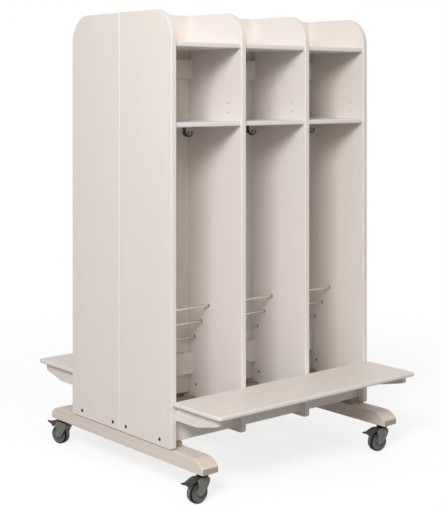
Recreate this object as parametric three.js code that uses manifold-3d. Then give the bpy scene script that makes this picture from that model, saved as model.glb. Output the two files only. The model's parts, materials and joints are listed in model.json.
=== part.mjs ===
import * as THREE from 'three'
import { mergeVertices } from 'three/addons/utils/BufferGeometryUtils.js'
import Module from 'manifold-3d'

// A two-sided cloakroom unit for a nursery, on castors. Two equal units stand back to back,
// each with a row of bays, a bench in front and bars for boots. All lengths are in millimetres.
// X runs along the row, Y across the two units with the seam at 0, Z up from the floor.

// Clearances
const fitGap = 0.3 // between pieces that touch
const seamGap = 0.8 // between the backs of the two units
const turnGap = 0.4 // round a pin or a hub that turns

// The row of bays and its boards
const bayCount = 3
const bayWidth = 308 // clear width between two uprights
const boardThickness = 22
const boardRound = 2.5 // worn-off radius along the edges of a board
const unitDepth = 320 // from the seam to the front edge of an upright
const uprightHeight = 1568
const topCornerRadius = 88
const footCornerRadius = 11
const backThickness = 4
const backRebate = 10 // how far the back board runs into an end upright
const backFoot = 95 // lower edge of the back board above the foot of the uprights

// Shelves
const shelfThickness = 18
const shelfSetback = 5 // from the front edge of an upright
const topShelfDrop = 118 // from the top of an upright to the top of the shelf
const hatShelfHeight = 1143 // underside above the foot of the uprights
const pinDiameter = 5
const pinDepth = 9
const pinInset = 76 // from the front edge of an upright
const pinPitch = 35
const pinRows = 2
const firstPinRow = 50 // above the underside of the hat shelf

// Rails between the uprights, against the back board
const upperRailHeight = 76
const upperRailDrop = 35 // below the top shelf
const lowerRailHeight = 86
const lowerRailFoot = 168 // above the foot of the uprights
const hookRailHeight = 46

// Coat hooks, two in each bay
const hookInset = 35 // from the wall of the bay to the middle of a hook
const hookPlateWidth = 22
const hookPlateHeight = 34
const hookPlateThickness = 3
const hookReach = 48 // from the rail to the tip of a prong
const hookDrop = 9 // from the root of a prong to its lowest point
const hookRise = 15 // from the lowest point to the tip
const hookSpread = 9 // sideways, from the middle of the hook to a tip
const prongRadius = 3
const prongTipRadius = 4.6

// Bars for boots, one behind and below the other
const bootBarCount = 3
const bootBarRadius = 5
const bootBarSeat = 10 // depth of its hole in an end upright
const firstBarDepth = 40 // lowest bar, from the seam
const firstBarHeight = 316 // above the foot of the uprights
const barStepDepth = 42.5
const barStepHeight = 66.5

// Bench, its brackets and the apron under it
const benchDepth = 258
const benchThickness = 15
const benchHeight = 170 // top of the bench above the foot of the uprights
const benchEndInset = 3 // from the end of the row
const benchRound = 4.5
const benchCornerRadius = 12 // seen from above
const bracketHeight = 54
const bracketTipHeight = 28
const bracketTipInset = 30 // from the front edge of the bench
const bracketTaper = 116 // length of the sloping part
const bracketBackReach = 60 // behind the front edge of the uprights
const apronThickness = 22
const apronSetback = 32 // from the front edge of the uprights
const apronFoot = 17 // lower edge above the foot of the uprights

// Foot beams under the ends of the row
const beamWidth = 72
const beamHeight = 50
const beamInset = 7 // from the end of the row to its outer face
const beamOverhang = 164 // beyond the front edge of the uprights
const beamEndFall = 58 // length of the curve that runs down to its end face
const beamEndFace = 22 // height of the flat end face
const shadowGap = 2 // from the beams up to the end uprights, which the ledges carry
const ledgeHeight = 43 // the inner half of a beam stands up behind the end uprights
const ledgeThickness = 45
const ledgeInset = 23 // from the front edge of the uprights to the end of the ledge
const boltDiameter = 8
const boltHeight = 25 // above the foot of the uprights
const boltDepths = [42, unitDepth - 70] // from the seam

// Castors
const castorHeight = 105
const castorSideInset = 44 // from the end of the row to the swivel pin
const castorEndInset = 44 // from the end of a beam to the swivel pin
const castorTrail = 24
const plateWidth = 50
const plateLength = 72
const plateThickness = 3
const plateSlotWidth = 6.5
const plateSlotLength = 10
const plateSlotInset = 11
const raceRadius = 21
const raceHeight = 12
const swivelPinRadius = 6
const swivelPinLength = 12
const wheelRadius = 38
const wheelWidth = 30
const wheelFacets = 20
const treadWidth = 17
const treadStand = 1 // how far the soft tread stands out of the core
const hubRadius = 11
const wheelDish = 6 // depth of the hollow side of the wheel
const axleRadius = 4
const axleHeadRadius = 7
const axleHeadThickness = 2
const forkWall = 4
const wheelSideGap = 1.5
const wheelCrownGap = 3.5
const forkFront = 18 // in front of the swivel pin
const forkBack = 34 // behind the swivel pin
const crownBack = 17
const lobeRadius = 14 // round the axle
const pedalPinRadius = 3
const pedalPinBack = 27 // behind the swivel pin
const pedalPinHeight = 81
const pedalSwing = 9 // degrees, from its rest down to the tread
const pedalWidth = 25
const pedalReach = 92 // from the swivel pin to the tip
const pedalTipHeight = 82
const pedalTipLength = 16
const pedalTipWidth = 9
const pedalTipThickness = 4
const pedalTipRoot = 10 // depth of the lever where its tip starts
const pedalTop = 93
const pedalRise = 17 // from the pedal pin to where the lever's top starts to fall
const shoeStart = 28 // degrees round the wheel, up from level behind it
const shoeEnd = 78
const shoeGap = 0.8 // between the shoe and the tread when the brake is down

// Places that follow from the sizes above
const bayPitch = bayWidth + boardThickness
const rowWidth = bayCount * bayPitch + boardThickness
const rowEnd = rowWidth / 2
const endWall = rowEnd - boardThickness // inner face of an end upright
const seam = seamGap / 2
const backFace = seam + backThickness
const railBack = backFace + fitGap
const beamFoot = castorHeight + fitGap
const beamTop = beamFoot + beamHeight
const foot = beamTop + shadowGap + fitGap // foot of the uprights
const top = foot + uprightHeight
const topShelfUnderside = top - topShelfDrop - shelfThickness
const hatShelfUnderside = foot + hatShelfHeight
const hookRailTop = hatShelfUnderside - fitGap
const upperRailTop = topShelfUnderside - upperRailDrop
const benchTop = foot + benchHeight
const benchFoot = benchTop - benchThickness
const benchBack = unitDepth + fitGap
const benchFront = benchBack + benchDepth
const bracketTop = benchFoot - fitGap
const bracketFoot = bracketTop - bracketHeight
const apronTop = bracketFoot - fitGap
const apronFront = unitDepth - apronSetback
const apronBack = apronFront - apronThickness
const beamEnd = unitDepth + beamOverhang
const beamOuter = rowEnd - beamInset
const beamDrop = beamHeight - beamEndFace
const beamEndRadius = (beamEndFall ** 2 + beamDrop ** 2) / (2 * beamDrop)
const ledgeTop = foot + ledgeHeight
const ledgeEnd = unitDepth - ledgeInset
const ledgeShoulder = foot + apronFoot - fitGap // the ledge is stepped down under the apron
const castorX = rowEnd - castorSideInset
const castorY = beamEnd - castorEndInset
const axleHeight = wheelRadius * Math.cos(Math.PI / wheelFacets) // a flat of the tread lies on the floor
const raceFoot = castorHeight - plateThickness - raceHeight
const forkTop = raceFoot - turnGap
const forkInside = wheelWidth / 2 + wheelSideGap
const forkOutside = forkInside + forkWall

// Colours
const glazedWood = finish(0xded5ca, 0.55)
const railWood = finish(0xd6cabc, 0.55)
const backPly = finish(0xc4ab8b, 0.6)
const footTimber = finish(0xcdb9a6, 0.65)
const barSteel = finish(0xe2dfda, 0.3, 0.7)
const castorSteel = finish(0x9a9c9c, 0.35, 0.8)
const castorPlastic = finish(0x6f7370, 0.5)
const wheelRubber = finish(0x4a4c50, 0.7)

const manifold = await Module()
manifold.setup()

function finish(color, roughness, metalness = 0) {
  return new THREE.MeshStandardMaterial({ color, roughness, metalness })
}

// A closed mesh as a solid that can be joined and cut
function solidOf(geometry) {
  const bare = geometry.clone()
  bare.deleteAttribute('normal')
  bare.deleteAttribute('uv')
  const merged = mergeVertices(bare)
  const vertProperties = new Float32Array(merged.attributes.position.array)
  const triVerts = new Uint32Array(merged.index.array)
  return new manifold.Manifold(new manifold.Mesh({ numProp: 3, vertProperties, triVerts }))
}

function geometryOf(solid) {
  const mesh = solid.getMesh()
  const geometry = new THREE.BufferGeometry()
  geometry.setAttribute('position', new THREE.BufferAttribute(mesh.vertProperties, 3))
  geometry.setIndex(new THREE.BufferAttribute(mesh.triVerts, 1))
  geometry.computeVertexNormals()
  return geometry
}

const joined = (...geometries) => geometryOf(geometries.map(solidOf).reduce((all, next) => all.add(next)))

const cut = (geometry, holes) =>
  geometryOf(holes.map(solidOf).reduce((rest, hole) => rest.subtract(hole), solidOf(geometry)))

// A closed outline through corners given as [across, up, radius], each corner rounded by an arc
function outline(corners) {
  const points = []
  corners.forEach(([across, up, radius = 0], index) => {
    const corner = new THREE.Vector2(across, up)
    if (radius === 0) {
      points.push(corner)
      return
    }
    const last = corners[(index + corners.length - 1) % corners.length]
    const next = corners[(index + 1) % corners.length]
    const toLast = new THREE.Vector2(last[0] - across, last[1] - up).normalize()
    const toNext = new THREE.Vector2(next[0] - across, next[1] - up).normalize()
    const halfAngle = Math.acos(toLast.dot(toNext)) / 2
    const middle = toLast.clone().add(toNext).normalize()
    const centre = corner.clone().addScaledVector(middle, radius / Math.sin(halfAngle))
    const start = corner.clone().addScaledVector(toLast, radius / Math.tan(halfAngle)).sub(centre)
    const turn = Math.PI - 2 * halfAngle
    const side = Math.sign(toLast.cross(toNext))
    const steps = Math.max(1, Math.round(turn * Math.sqrt(radius) * 0.65))
    for (let step = 0; step <= steps; step += 1) {
      const angle = (-side * turn * step) / steps
      points.push(start.clone().rotateAround(new THREE.Vector2(), angle).add(centre))
    }
  })
  return new THREE.Shape(points)
}

const rectangle = (left, bottom, right, up, radius = 0) =>
  outline([[left, bottom, radius], [right, bottom, radius], [right, up, radius], [left, up, radius]])

// An outline carried straight from one plane to another, with its rims rounded in steps
function carried(shape, from, to, axes, rim, rimSteps) {
  const options = {
    depth: to - from - 2 * rim,
    bevelEnabled: rim > 0,
    bevelThickness: rim,
    bevelSize: rim,
    bevelOffset: -rim,
    bevelSegments: rimSteps
  }
  const geometry = new THREE.ExtrudeGeometry(shape, options)
  geometry.translate(0, 0, from + rim)
  return geometry.applyMatrix4(new THREE.Matrix4().makeBasis(...axes))
}

const xAxis = new THREE.Vector3(1, 0, 0)
const yAxis = new THREE.Vector3(0, 1, 0)
const zAxis = new THREE.Vector3(0, 0, 1)
const backwards = new THREE.Vector3(0, -1, 0)

const alongX = (shape, from, to, rim = 0) => carried(shape, from, to, [yAxis, zAxis, xAxis], rim, 1)
const alongY = (shape, from, to, rim = 0) => carried(shape, -to, -from, [xAxis, zAxis, backwards], rim, 1)
const alongZ = (shape, from, to, rim = 0) => carried(shape, from, to, [xAxis, yAxis, zAxis], rim, 2)

// A round bar between two planes, about the line through the two given coordinates
function bar(radius, from, to, sides) {
  return new THREE.CylinderGeometry(radius, radius, to - from, sides).translate(0, (from + to) / 2, 0)
}

const barAlongX = (radius, from, to, y, z, sides = 8) =>
  bar(radius, -to, -from, sides).rotateZ(Math.PI / 2).translate(0, y, z)

const barAlongY = (radius, from, to, x, z, sides = 8) =>
  bar(radius, from, to, sides).translate(x, 0, z)

const barAlongZ = (radius, from, to, x, y, sides = 16) =>
  bar(radius, from, to, sides).rotateX(Math.PI / 2).translate(x, y, 0)

// Places that repeat
const bays = [...Array(bayCount).keys()]
const uprightStart = (index) => index * bayPitch - rowEnd // left face of an upright
const bayStart = (bay) => uprightStart(bay) + boardThickness
const bootBars = [...Array(bootBarCount).keys()].map((index) => ({
  y: -(firstBarDepth + index * barStepDepth),
  z: foot + firstBarHeight + index * barStepHeight
}))
const rails = {
  lower: { foot: foot + lowerRailFoot, top: foot + lowerRailFoot + lowerRailHeight },
  hook: { foot: hookRailTop - hookRailHeight, top: hookRailTop },
  upper: { foot: upperRailTop - upperRailHeight, top: upperRailTop }
}

// Holes for shelf pins in one face of an upright, as blind bars that start at that face
function pinHoles(face, inward) {
  const holes = []
  for (let row = 0; row < pinRows; row += 1) {
    const z = hatShelfUnderside + firstPinRow + row * pinPitch
    const ends = [face - inward, face + inward * pinDepth].sort((a, b) => a - b)
    holes.push(barAlongX(pinDiameter / 2, ...ends, pinInset - unitDepth, z, 6))
  }
  return holes
}

const boltHole = (from, to, y) => barAlongX(boltDiameter / 2, from, to, y, foot + boltHeight)

// An end upright: a full board with a rebate for the back board and blind holes for the boot bars
function endUpright(side) {
  const profile = outline([
    [-unitDepth, foot, footCornerRadius], [-seam, foot], [-seam, top], [-unitDepth, top, topCornerRadius]
  ])
  const faces = [side * endWall, side * rowEnd].sort((a, b) => a - b)
  const board = alongX(profile, ...faces, boardRound)
  const rebateFaces = [side * (endWall - fitGap), side * (endWall + backRebate)].sort((a, b) => a - b)
  const rebateShape = rectangle(-railBack, foot + backFoot - fitGap, boardRound, top + boardRound)
  const seatFaces = [side * (endWall - fitGap), side * (endWall + bootBarSeat)].sort((a, b) => a - b)
  const holes = [
    alongX(rebateShape, ...rebateFaces),
    ...bootBars.map(({ y, z }) => barAlongX(bootBarRadius + fitGap, ...seatFaces, y, z)),
    ...pinHoles(side * endWall, side),
    ...boltDepths.map((depth) => boltHole(faces[0] - 1, faces[1] + 1, -depth))
  ]
  return cut(board, holes)
}

// A partition: notched at the back over the three rails and from below over the apron
function partition(left) {
  const right = left + boardThickness
  const notchDepth = railBack + boardThickness + fitGap
  const notch = ({ foot: low, top: high }) => [
    [-railBack, low - fitGap], [-notchDepth, low - fitGap], [-notchDepth, high + fitGap], [-railBack, high + fitGap]
  ]
  const profile = outline([
    [-unitDepth, foot, footCornerRadius],
    [-apronFront - fitGap, foot], [-apronFront - fitGap, apronTop + fitGap],
    [-apronBack + fitGap, apronTop + fitGap], [-apronBack + fitGap, foot],
    [-railBack, foot], ...notch(rails.lower), ...notch(rails.hook), ...notch(rails.upper),
    [-railBack, top], [-unitDepth, top, topCornerRadius]
  ])
  const holes = [
    ...bootBars.map(({ y, z }) => barAlongX(bootBarRadius + fitGap, left - 1, right + 1, y, z)),
    ...pinHoles(left, 1),
    ...pinHoles(right, -1)
  ]
  return cut(alongX(profile, left, right, boardRound), holes)
}

function shelf(bay, underside) {
  const profile = rectangle(
    shelfSetback - unitDepth, underside, -railBack, underside + shelfThickness, boardRound
  )
  return alongX(profile, bayStart(bay) + fitGap, bayStart(bay) + bayWidth - fitGap)
}

function backBoard() {
  const halfWidth = endWall + backRebate - fitGap
  return alongY(rectangle(-halfWidth, foot + backFoot, halfWidth, top), -backFace, -seam)
}

// A rail through the notches of the partitions, from one end upright to the other
function rail({ foot: low, top: high }) {
  const profile = rectangle(-railBack - boardThickness, low, -railBack, high, boardRound)
  return alongX(profile, fitGap - endWall, endWall - fitGap)
}

// A bent round prong with a ball at its tip, starting in the face of the rail
function prong(x, lean) {
  const face = -(railBack + boardThickness)
  const root = rails.hook.foot + hookRailHeight / 2 - hookDrop / 2
  const path = new THREE.CatmullRomCurve3([
    new THREE.Vector3(x + lean * hookSpread * 0.4, face + 1, root),
    new THREE.Vector3(x + lean * hookSpread * 0.6, face - hookReach * 0.45, root - hookDrop),
    new THREE.Vector3(x + lean * hookSpread * 0.85, face - hookReach * 0.85, root - hookDrop * 0.8),
    new THREE.Vector3(x + lean * hookSpread, face - hookReach + prongTipRadius, root - hookDrop + hookRise)
  ])
  const section = new THREE.Shape(new THREE.EllipseCurve(0, 0, prongRadius, prongRadius).getPoints(5).slice(0, 5))
  const rod = new THREE.ExtrudeGeometry(section, { steps: 3, extrudePath: path })
  const tip = new THREE.SphereGeometry(prongTipRadius, 6, 3).translate(...path.getPoint(1).toArray())
  return [rod, tip]
}

// The rail under the hat shelves, with its coat hooks
function hookRail() {
  const face = -(railBack + boardThickness)
  const middle = rails.hook.foot + hookRailHeight / 2
  const pieces = bays.flatMap((bay) => {
    const places = [bayStart(bay) + hookInset, bayStart(bay) + bayWidth - hookInset]
    return places.flatMap((x) => {
      const half = [hookPlateWidth / 2, hookPlateHeight / 2]
      const plate = rectangle(x - half[0], middle - half[1], x + half[0], middle + half[1], hookPlateWidth / 5)
      return [alongY(plate, face - hookPlateThickness, face + 1), ...prong(x, -1), ...prong(x, 1)]
    })
  })
  return joined(rail(rails.hook), ...pieces)
}

function bootBar({ y, z }) {
  const reach = endWall + bootBarSeat - fitGap
  return barAlongX(bootBarRadius, -reach, reach, y, z)
}

function bench() {
  const half = rowEnd - benchEndInset
  const plan = outline([
    [-half, -benchFront, benchCornerRadius], [half, -benchFront, benchCornerRadius],
    [half, -benchBack, benchRound], [-half, -benchBack, benchRound]
  ])
  return alongZ(plan, benchFoot, benchTop, benchRound)
}

// A bench bracket against the inner face of an end upright, tapering to its tip
function benchBracket(side) {
  const tip = -(benchFront - bracketTipInset)
  const profile = outline([
    [tip, bracketTop - bracketTipHeight, 8],
    [tip + bracketTaper, bracketFoot, 30],
    [bracketBackReach - unitDepth, bracketFoot, 3],
    [bracketBackReach - unitDepth, bracketTop],
    [tip, bracketTop]
  ])
  const inner = endWall - fitGap - boardThickness
  const faces = [side * inner, side * (endWall - fitGap)].sort((a, b) => a - b)
  return alongX(profile, ...faces, boardRound)
}

function apron() {
  const half = endWall - fitGap
  return alongY(rectangle(-half, foot + apronFoot, half, apronTop), -apronFront, -apronBack, boardRound)
}

// The arc from the top of a beam's end face up to where it runs out on the beam's top
function beamEndCurve() {
  const steps = 6
  const steepest = Math.asin(beamEndFall / beamEndRadius)
  return [...Array(steps + 1).keys()].map((step) => {
    const angle = steepest * (1 - step / steps)
    return [
      beamEnd - beamEndFall + beamEndRadius * Math.sin(angle),
      beamTop - beamEndRadius * (1 - Math.cos(angle))
    ]
  })
}

// A foot beam: a bar under the end uprights, and a ledge behind them that they are bolted to
function footBeam(side) {
  const inner = beamOuter - beamWidth
  const ledgeInner = endWall - ledgeThickness
  const curve = beamEndCurve()
  const barShape = outline([
    [-beamEnd, beamFoot, boardRound], [beamEnd, beamFoot, boardRound],
    ...curve, ...curve.map(([y, z]) => [-y, z]).reverse()
  ])
  const shoulder = apronBack - fitGap
  const ledgeShape = outline([
    [-ledgeEnd, beamFoot + beamHeight / 2], [ledgeEnd, beamFoot + beamHeight / 2],
    [ledgeEnd, ledgeShoulder], [shoulder, ledgeShoulder], [shoulder, ledgeTop],
    [-shoulder, ledgeTop], [-shoulder, ledgeShoulder], [-ledgeEnd, ledgeShoulder]
  ])
  const between = (a, b) => [side * a, side * b].sort((first, second) => first - second)
  const beam = joined(
    alongX(barShape, ...between(inner, beamOuter), boardRound),
    alongX(ledgeShape, ...between(ledgeInner, endWall - fitGap), boardRound)
  )
  const holes = [...boltDepths, ...boltDepths.map((depth) => -depth)].map((y) =>
    boltHole(...between(ledgeInner - 1, endWall + 1), y))
  return cut(beam, holes)
}

// Castors are drawn round their swivel pin at X 0, Y 0, with the wheel trailing towards +X

// The fixed plate with its slots, the swivel race and the pin
function castorPlate() {
  const low = castorHeight - plateThickness
  const halfWidth = plateWidth / 2
  const halfLength = plateLength / 2
  const plate = alongZ(rectangle(-halfLength, -halfWidth, halfLength, halfWidth, 5), low, castorHeight)
  const race = new THREE.LatheGeometry([
    new THREE.Vector2(0, raceFoot - swivelPinLength),
    new THREE.Vector2(swivelPinRadius, raceFoot - swivelPinLength),
    new THREE.Vector2(swivelPinRadius, raceFoot),
    new THREE.Vector2(raceRadius - 2, raceFoot),
    new THREE.Vector2(raceRadius, raceFoot + 2),
    new THREE.Vector2(raceRadius, low + 1),
    new THREE.Vector2(0, low + 1)
  ], 16).rotateX(Math.PI / 2)
  const reachX = halfLength - plateSlotInset
  const reachY = halfWidth - plateSlotInset
  const slots = [[-1, -1], [1, -1], [1, 1], [-1, 1]].map(([sideX, sideY]) => {
    const x = sideX * reachX
    const y = sideY * reachY
    const half = [plateSlotLength / 2, plateSlotWidth / 2]
    const shape = rectangle(x - half[0], y - half[1], x + half[0], y + half[1], half[1] / 2)
    return alongZ(shape, low - 1, castorHeight + 1)
  })
  return cut(joined(plate, race), slots)
}

// Points on an arc round the axle, with angles in degrees up from straight behind it
const arcAboutAxle = (radius, from, to, steps) =>
  [...Array(steps + 1).keys()].map((step) => {
    const angle = THREE.MathUtils.degToRad(from + ((to - from) * step) / steps)
    return [castorTrail + radius * Math.cos(angle), axleHeight + radius * Math.sin(angle)]
  })

// The moulded fork: two cheeks under a crown, hollowed for the wheel, with the axle riveted in
function castorFork() {
  const lobeFoot = axleHeight - lobeRadius
  const shell = alongY(outline([
    [castorTrail - 18, lobeFoot + 8, 14],
    [castorTrail + lobeRadius, lobeFoot, lobeRadius - 1],
    [castorTrail + 5, axleHeight + 25, 12],
    [forkBack, pedalPinHeight - 6, 4],
    [forkBack, pedalPinHeight + 5, 4],
    [forkBack - 12, forkTop, 6],
    [-forkFront, forkTop, 9],
    [-forkFront, axleHeight + 34, 22]
  ]), -forkOutside, forkOutside, 1.2)
  const pocketRadius = wheelRadius + wheelCrownGap
  const pocketEnd = THREE.MathUtils.radToDeg(Math.acos((crownBack - castorTrail) / pocketRadius))
  const far = forkBack + forkOutside
  const pocket = alongY(outline([
    [castorTrail - pocketRadius, -1], [far, -1], [far, forkTop + 1], [crownBack, forkTop + 1],
    ...arcAboutAxle(pocketRadius, pocketEnd, 180, 7)
  ]), -forkInside, forkInside)
  const pinBore = barAlongZ(swivelPinRadius + turnGap, raceFoot - swivelPinLength - 1, forkTop + 1, 0, 0)
  const pedalHole = barAlongY(
    pedalPinRadius + turnGap, -forkOutside - 1, forkOutside + 1, pedalPinBack, pedalPinHeight
  )
  const hollow = cut(shell, [pocket, pinBore, pedalHole])
  const axle = barAlongY(axleRadius, -forkOutside - 0.5, forkOutside + 0.5, castorTrail, axleHeight)
  const heads = [-1, 1].map((side) => {
    const ends = [side * (forkOutside - 0.5), side * (forkOutside + axleHeadThickness)].sort((a, b) => a - b)
    return barAlongY(axleHeadRadius, ...ends, castorTrail, axleHeight)
  })
  return joined(hollow, axle, ...heads)
}

// The wheel: a dished core with a soft tread moulded round it
function castorWheel() {
  const half = wheelWidth / 2
  const coreRadius = wheelRadius - treadStand
  const halfTread = treadWidth / 2
  const bore = axleRadius + turnGap
  const side = (sign) => [
    [bore, sign * half],
    [hubRadius, sign * half],
    [hubRadius + 1, sign * (half - wheelDish)],
    [coreRadius - 7, sign * (half - wheelDish)],
    [coreRadius - 5, sign * (half - 1)],
    [coreRadius, sign * (half - 4)],
    [wheelRadius, sign * halfTread]
  ]
  const profile = [...side(-1), ...side(1).reverse(), side(-1)[0]]
  const points = profile.map(([radius, across]) => new THREE.Vector2(radius, across))
  return new THREE.LatheGeometry(points, wheelFacets)
    .rotateY(Math.PI / wheelFacets)
    .translate(castorTrail, 0, axleHeight)
}

// The brake pedal: a shoe that lies round the tread when it is down, and a lever to a narrow tip
function brakePedal() {
  const pin = new THREE.Vector2(pedalPinBack, pedalPinHeight)
  const lifted = ([x, z]) =>
    new THREE.Vector2(x, z).rotateAround(pin, THREE.MathUtils.degToRad(pedalSwing)).toArray()
  const shoe = arcAboutAxle(wheelRadius + shoeGap, shoeEnd, shoeStart, 5).map(lifted)
  const heel = lifted(arcAboutAxle(wheelRadius + shoeGap + 7, shoeStart + 2, shoeEnd, 1)[0])
  const tipStart = pedalReach - pedalTipLength
  const shape = outline([
    ...shoe,
    [...heel, 2],
    [tipStart, pedalTipHeight - pedalTipRoot, 5],
    [pedalReach, pedalTipHeight - pedalTipThickness, 1],
    [pedalReach, pedalTipHeight, 1],
    [tipStart, pedalTipHeight, 10],
    [pedalPinBack + pedalRise, pedalTop, 12],
    [pedalPinBack - 5, pedalTop, 2],
    [pedalPinBack - 5, pedalPinHeight - pedalPinRadius]
  ].reverse())
  const halfWidth = pedalWidth / 2
  const body = alongY(shape, -halfWidth, halfWidth, 1)
  const waste = [-1, 1].map((side) => {
    const corners = [
      [pedalPinBack + 4, side * (halfWidth + 1)],
      [tipStart, (side * pedalTipWidth) / 2, 12],
      [pedalReach + 1, (side * pedalTipWidth) / 2],
      [pedalReach + 1, side * (halfWidth + 1)]
    ]
    return alongZ(outline(side < 0 ? corners.reverse() : corners), 0, castorHeight)
  })
  const pinBar = barAlongY(pedalPinRadius, -forkOutside, forkOutside, pedalPinBack, pedalPinHeight)
  return joined(cut(body, waste), pinBar)
}

// Assembly
const cloakroom = new THREE.Group()

function piece(parent, name, geometry, material) {
  const mesh = new THREE.Mesh(geometry, material)
  mesh.name = name
  parent.add(mesh)
}

// One unit of the pair. The rear unit is the front one turned half round, so its left and right swap.
function unit(word, turned) {
  const group = new THREE.Group()
  group.rotation.z = turned ? Math.PI : 0
  const hand = (side) => (side * (turned ? -1 : 1) < 0 ? 'left' : 'right')
  const bayNumber = (bay) => (turned ? bayCount - bay : bay + 1)
  for (const side of [-1, 1]) {
    piece(group, `${word}_${hand(side)}_end_upright`, endUpright(side), glazedWood)
    piece(group, `${word}_${hand(side)}_bench_bracket`, benchBracket(side), glazedWood)
  }
  for (let index = 1; index < bayCount; index += 1) {
    const number = turned ? bayCount - index : index
    piece(group, `${word}_partition_${number}`, partition(uprightStart(index)), glazedWood)
  }
  for (const bay of bays) {
    piece(group, `${word}_top_shelf_${bayNumber(bay)}`, shelf(bay, topShelfUnderside), glazedWood)
    piece(group, `${word}_hat_shelf_${bayNumber(bay)}`, shelf(bay, hatShelfUnderside), glazedWood)
  }
  piece(group, `${word}_back_board`, backBoard(), backPly)
  piece(group, `${word}_upper_rail`, rail(rails.upper), railWood)
  piece(group, `${word}_lower_rail`, rail(rails.lower), railWood)
  piece(group, `${word}_hook_rail`, hookRail(), railWood)
  bootBars.forEach((place, index) => {
    piece(group, `${word}_boot_bar_${index + 1}`, bootBar(place), barSteel)
  })
  piece(group, `${word}_bench`, bench(), glazedWood)
  piece(group, `${word}_apron`, apron(), glazedWood)
  return group
}

// One castor, with the way its wheel trails given as an angle about Z
function castor(word, x, y, heading) {
  const group = new THREE.Group()
  group.position.set(x, y, 0)
  const fixed = new THREE.Group()
  fixed.rotation.z = Math.PI / 2
  const swivel = new THREE.Group()
  swivel.rotation.z = THREE.MathUtils.degToRad(heading)
  group.add(fixed, swivel)
  piece(fixed, `${word}_castor_plate`, castorPlate(), castorSteel)
  piece(swivel, `${word}_castor_fork`, castorFork(), castorPlastic)
  piece(swivel, `${word}_castor_wheel`, castorWheel(), wheelRubber)
  piece(swivel, `${word}_brake_pedal`, brakePedal(), castorPlastic)
  return group
}

cloakroom.add(unit('front', false), unit('rear', true))
piece(cloakroom, 'left_foot_beam', footBeam(-1), footTimber)
piece(cloakroom, 'right_foot_beam', footBeam(1), footTimber)
cloakroom.add(
  castor('front_left', -castorX, -castorY, 178),
  castor('front_right', castorX, -castorY, 168),
  castor('rear_left', -castorX, castorY, 106),
  castor('rear_right', castorX, castorY, 358)
)

export default cloakroom
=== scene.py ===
import json
import math

import bpy
import numpy as np
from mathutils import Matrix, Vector


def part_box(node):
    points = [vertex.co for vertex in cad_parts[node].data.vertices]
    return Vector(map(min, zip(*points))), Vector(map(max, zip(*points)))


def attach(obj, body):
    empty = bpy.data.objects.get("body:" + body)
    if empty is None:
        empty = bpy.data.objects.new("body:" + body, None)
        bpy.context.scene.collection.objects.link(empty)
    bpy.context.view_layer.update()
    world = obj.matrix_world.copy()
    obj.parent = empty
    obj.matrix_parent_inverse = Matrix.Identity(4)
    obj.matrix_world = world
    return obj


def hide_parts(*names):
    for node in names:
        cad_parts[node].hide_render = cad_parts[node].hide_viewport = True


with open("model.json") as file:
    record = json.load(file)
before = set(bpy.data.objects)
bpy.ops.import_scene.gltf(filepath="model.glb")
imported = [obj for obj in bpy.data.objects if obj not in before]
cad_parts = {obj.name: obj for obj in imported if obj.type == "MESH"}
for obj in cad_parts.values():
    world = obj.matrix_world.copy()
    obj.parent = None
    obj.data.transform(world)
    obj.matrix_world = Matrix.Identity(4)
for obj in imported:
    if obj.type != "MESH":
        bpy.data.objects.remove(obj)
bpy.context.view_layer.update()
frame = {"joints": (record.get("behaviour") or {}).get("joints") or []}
joints = {joint["name"]: joint for joint in frame["joints"]}
chance = np.random.default_rng(31)
print("frame loaded")

# A camera at a child's wardrobe seen from its front left corner, held level at adult eye height
view = {"place": (-3.0592, -3.6145, 1.4281), "turn": -40.154, "lens": 83.88, "shiftY": -0.3182}
camera = bpy.data.objects.new("camera", bpy.data.cameras.new("camera"))
camera.location = view["place"]
camera.rotation_euler = (math.radians(90), 0, math.radians(view["turn"]))
camera.data.sensor_width = 36
camera.data.lens = view["lens"]
camera.data.shift_y = view["shiftY"]
camera.data.clip_start = 0.05
camera.data.clip_end = 200
bpy.context.scene.collection.objects.link(camera)
bpy.context.scene.camera = camera

# Directions for a profile: its first axis, its second, and the way it is carried
alongX = np.array([(0, 1, 0), (0, 0, 1), (1, 0, 0)], float)
alongY = np.array([(1, 0, 0), (0, 0, 1), (0, -1, 0)], float)
alongZ = np.array([(1, 0, 0), (0, 1, 0), (0, 0, 1)], float)
againstX = np.array([(0, 1, 0), (0, 0, -1), (-1, 0, 0)], float)
againstY = np.array([(1, 0, 0), (0, 0, -1), (0, 1, 0)], float)
againstZ = np.array([(1, 0, 0), (0, -1, 0), (0, 0, -1)], float)
millimetre = 0.001
rowAxis, depthAxis, upAxis = 0, 1, 2


def cornerArcs(corners):
    # A corner of radius r between sides with outward normals m and n becomes an arc:
    # centre = corner - s r (m + n) / (1 + m.n), point = centre + s r k, where k turns evenly from m to n
    # and s is 1 at an outer corner and -1 in a hollow one
    table = np.array([(*corner, 0.2)[:3] for corner in corners], float)
    sides = np.roll(table[:, :2], -1, 0) - table[:, :2]
    ahead = np.stack([sides[:, 1], -sides[:, 0]], 1) / np.linalg.norm(sides, axis=1)[:, None]
    behind = np.roll(ahead, 1, 0)
    turns = np.arctan2(behind[:, 0] * ahead[:, 1] - behind[:, 1] * ahead[:, 0], (behind * ahead).sum(1))
    points, outwards = [], []
    for place, radius, m, n, turn in zip(table[:, :2], table[:, 2], behind, ahead, turns):
        steps = max(1, round(abs(turn) * (1.5 + 0.9 * math.sqrt(radius))))
        t = np.linspace(0, turn, steps + 1)
        k = np.stack([m[0] * np.cos(t) - m[1] * np.sin(t), m[0] * np.sin(t) + m[1] * np.cos(t)], 1)
        s = math.copysign(1, turn)
        points.append(place - s * radius * (m + n) / (1 + m @ n) + s * radius * k)
        outwards.append(k)
    cornerOf = np.concatenate([np.full(len(arc), number) for number, arc in enumerate(points)])
    return np.concatenate(points), np.concatenate(outwards), cornerOf


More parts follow.
